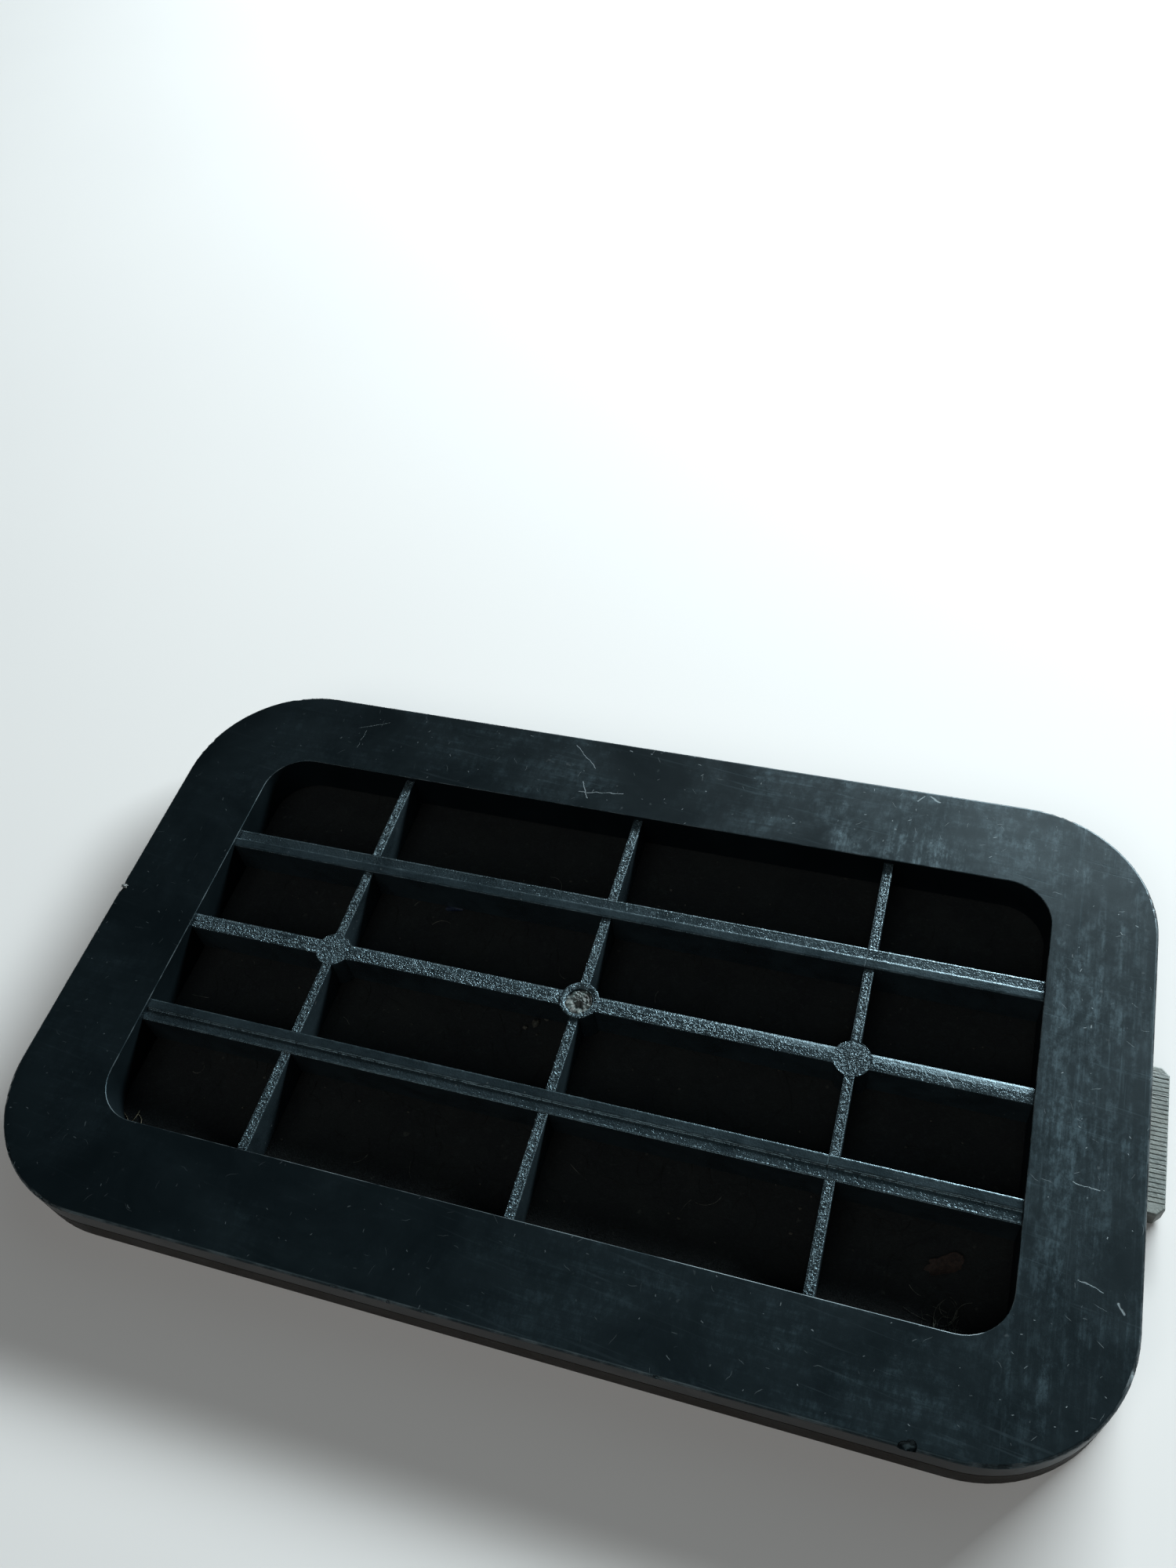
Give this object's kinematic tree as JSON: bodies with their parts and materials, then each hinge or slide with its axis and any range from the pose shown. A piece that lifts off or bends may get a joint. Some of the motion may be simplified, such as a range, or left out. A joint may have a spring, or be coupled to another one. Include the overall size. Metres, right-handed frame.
{
  "type": "ventilation grille",
  "caption": "Rounded black plastic air grille: a hinged face with a deep fixed blade grid on a mounting frame, with a filter that slides out by a side tab.",
  "frame": {"origin": "middle of the back face, at the centre of the wall screw pattern", "axes": "+X along the length towards the pull tab, +Y across towards the far long side, +Z out of the wall through the front face"},
  "size_m": [0.4593, 0.272, 0.026],
  "materials": {
    "black_plastic": "satin, scuffed and dusty",
    "grid_plastic": "spark-eroded texture on the rib tops",
    "frame_plastic": "satin, with brown dirt",
    "plug_plastic": "rough, torn and dirty",
    "tab_plastic": "rough grey-green",
    "rail_plastic": "plain moulded",
    "filter_plastic": "plain moulded",
    "filter_fibre": "matted dark fibre with dust",
    "seal_foam": "closed-cell foam",
    "screw_steel": "dull zinc plate",
    "pin_steel": "drawn stainless",
    "magnet_ferrite": "dark ceramic"
  },
  "bodies": {
    "base": {"mounting_frame": "frame_plastic", "foam_seal": "seal_foam", "catch_magnets": "magnet_ferrite", "filter_rail_far": "rail_plastic", "filter_rail_near": "rail_plastic", "rail_screws": "screw_steel"},
    "face": {"front_frame": "black_plastic", "long_bar_far": "grid_plastic", "long_bar_middle": "grid_plastic", "long_bar_near": "grid_plastic", "cross_rib_left": "grid_plastic", "cross_rib_centre": "grid_plastic", "cross_rib_right": "grid_plastic", "crossing_cap_left": "grid_plastic", "crossing_cap_right": "grid_plastic", "crossing_cup": "grid_plastic", "cup_plug": "plug_plastic", "bar_screws": "screw_steel", "rib_screws": "screw_steel", "hinge_pins": "pin_steel", "catch_plates": "screw_steel", "catch_screws": "screw_steel"},
    "filter": {"filter_frame": "filter_plastic", "filter_mat": "filter_fibre", "pull_tab": "tab_plastic", "tab_screws": "screw_steel"}
  },
  "joints": [
    {"name": "face_hinge", "type": "hinge", "parent": "base", "child": "face", "pos_m": [-0.22, 0, 0.019], "axis": [0, -1, 0], "range_deg": [0, 90]},
    {"name": "filter_slide", "type": "slide", "parent": "base", "child": "filter", "axis": [1, 0, 0], "range_m": [0, 0.34]}
  ]
}
